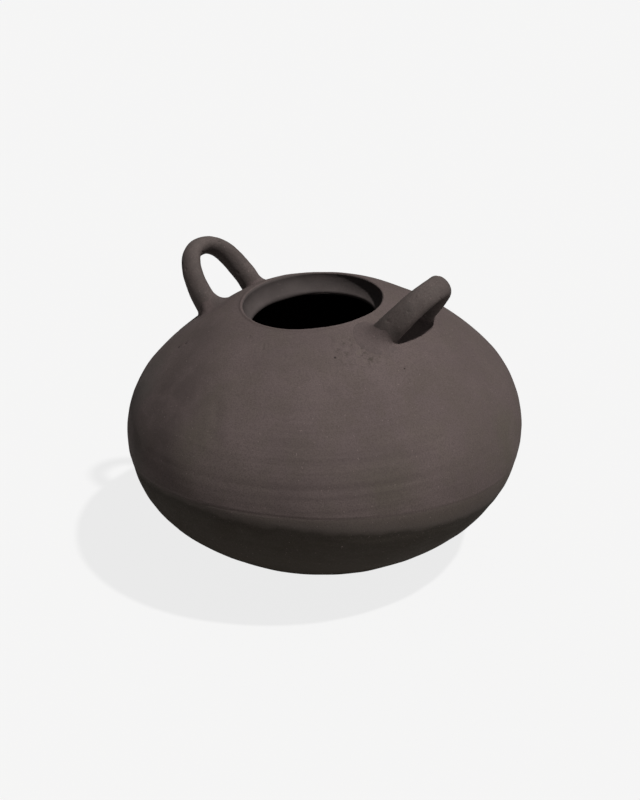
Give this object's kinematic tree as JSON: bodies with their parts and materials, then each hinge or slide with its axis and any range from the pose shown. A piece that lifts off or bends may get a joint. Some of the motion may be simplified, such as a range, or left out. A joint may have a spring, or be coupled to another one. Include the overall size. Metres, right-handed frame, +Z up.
{
  "type": "clay olla with handles",
  "caption": "Round-bellied unglazed black clay pot with an in-turned bevelled mouth and arched coil handles leaning outward on its shoulder.",
  "frame": {"origin": "centre of the flat base, on the surface the pot stands on", "axes": "+Z up along the pot's axis, +X over the front handle"},
  "size_m": [0.32, 0.32, 0.2521],
  "materials": {
    "trimmed_clay": "unglazed, trimmed, matte, darker than the rest",
    "belly_clay": "unglazed, matte, fine turning lines",
    "shoulder_clay": "unglazed, matte, wiped smooth, fine grit",
    "mouth_clay": "unglazed, matte, soft lip, smoke-black bevel",
    "handle_clay": "unglazed, matte, rolled coil with small cracks",
    "smeared_clay": "unglazed, matte, smeared by hand"
  },
  "bodies": {
    "root": {"lower_bowl": "trimmed_clay", "belly_band": "belly_clay", "shoulder_wall": "shoulder_clay", "mouth_ring": "mouth_clay", "front_handle": "handle_clay", "front_handle_left_collar": "smeared_clay", "front_handle_right_collar": "smeared_clay", "rear_handle": "handle_clay", "rear_handle_left_collar": "smeared_clay", "rear_handle_right_collar": "smeared_clay"}
  },
  "joints": []
}
